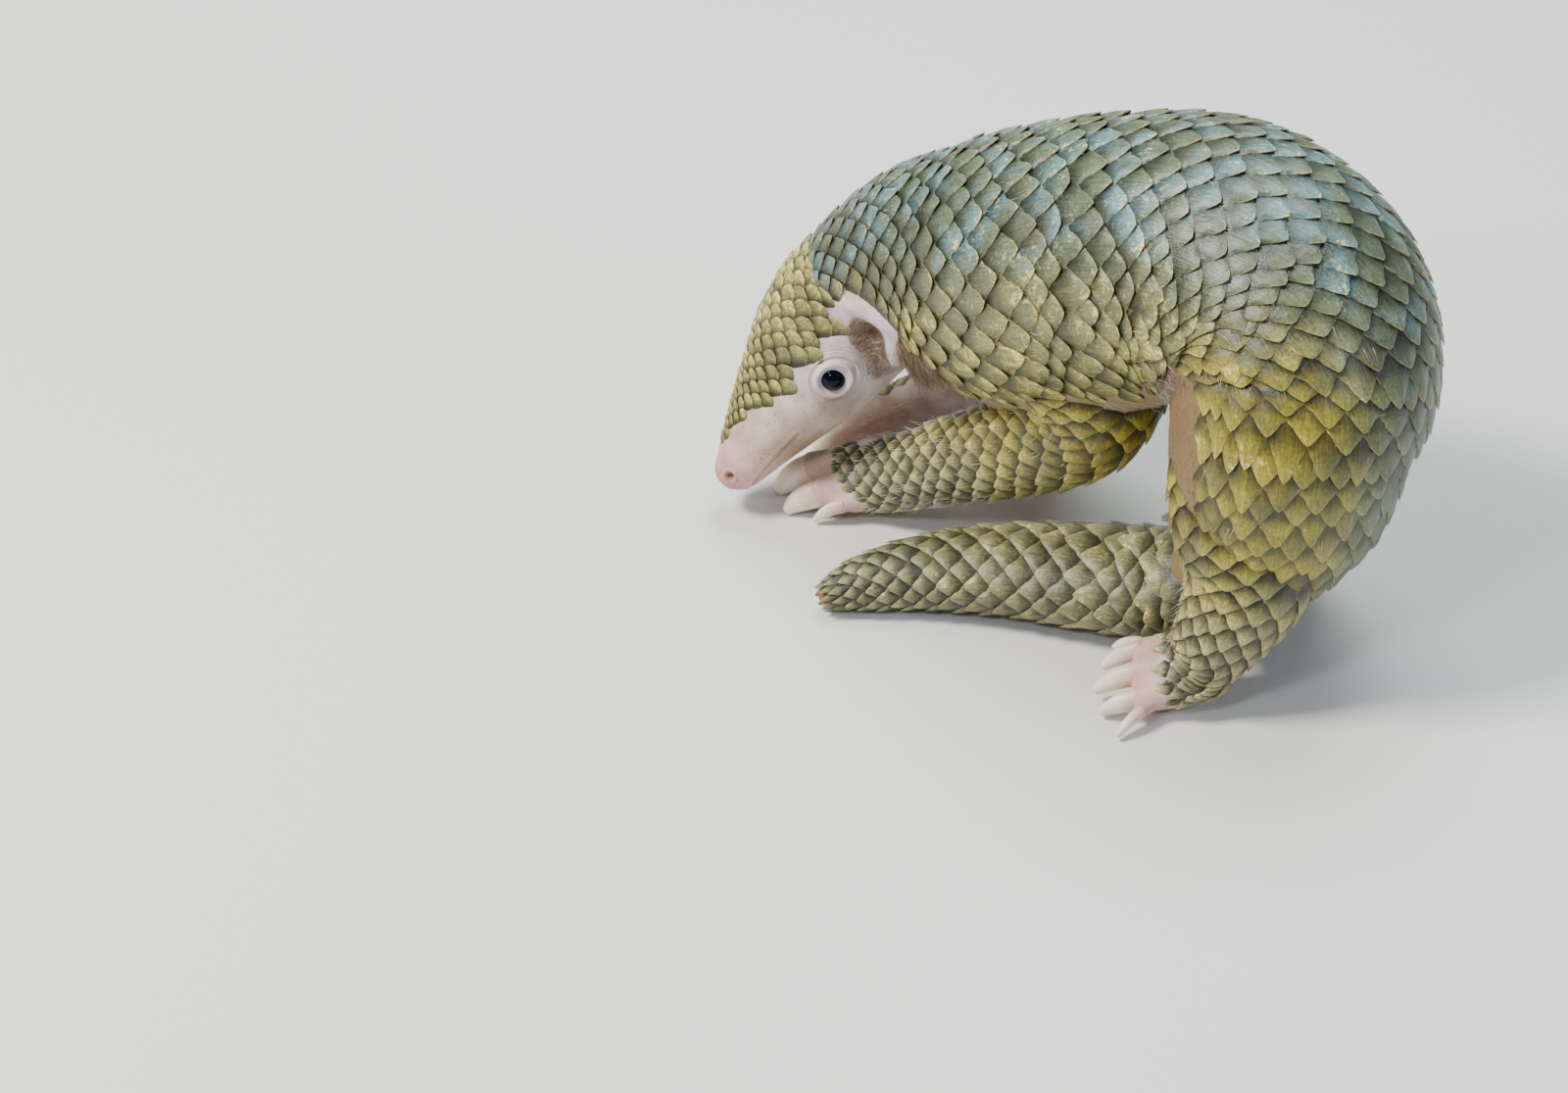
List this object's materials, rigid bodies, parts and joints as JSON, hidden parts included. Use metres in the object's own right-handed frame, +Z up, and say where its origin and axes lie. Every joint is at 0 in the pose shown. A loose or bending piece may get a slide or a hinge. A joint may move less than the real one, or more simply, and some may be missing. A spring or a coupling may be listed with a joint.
{
  "type": "pangolin figure",
  "caption": "Life-size still model of a young Chinese pangolin, half curled with an arched back, nose down, forelegs reaching forward and tail tucked between the hind legs",
  "frame": {"origin": "the middle of the bounding box at floor level", "axes": "+Z up; the head points to -X and the left side of the body faces -Y; the floor is the plane z = 0"},
  "size_m": [0.2418, 0.1896, 0.1792],
  "materials": {
    "scaled_skin": "olive and grey-brown horn scales, satin, with dried mud",
    "bare_skin": "bare pink skin, matte",
    "claw": "cream-white horn, satin",
    "eye": "black, wet gloss"
  },
  "bodies": {
    "root": {"claw_fore_left_1": "claw", "claw_fore_left_2": "claw", "claw_fore_left_3": "claw", "claw_fore_left_4": "claw", "claw_fore_left_5": "claw", "claw_fore_right_1": "claw", "claw_fore_right_2": "claw", "claw_fore_right_3": "claw", "claw_fore_right_4": "claw", "claw_fore_right_5": "claw", "claw_hind_left_1": "claw", "claw_hind_left_2": "claw", "claw_hind_left_3": "claw", "claw_hind_left_4": "claw", "claw_hind_left_5": "claw", "claw_hind_right_1": "claw", "claw_hind_right_2": "claw", "claw_hind_right_3": "claw", "claw_hind_right_4": "claw", "claw_hind_right_5": "claw", "ear_left": "bare_skin", "ear_right": "bare_skin", "eye_left": "eye", "eye_right": "eye", "foot_left": "bare_skin", "foot_right": "bare_skin", "foreleg_left": "scaled_skin", "foreleg_right": "scaled_skin", "hand_left": "bare_skin", "hand_right": "bare_skin", "head": "scaled_skin", "hindleg_left": "scaled_skin", "hindleg_right": "scaled_skin", "neck": "scaled_skin", "rump": "scaled_skin", "tail_base": "scaled_skin", "tail_middle": "scaled_skin", "tail_tip": "scaled_skin", "torso_front": "scaled_skin", "torso_middle": "scaled_skin"}
  },
  "joints": []
}
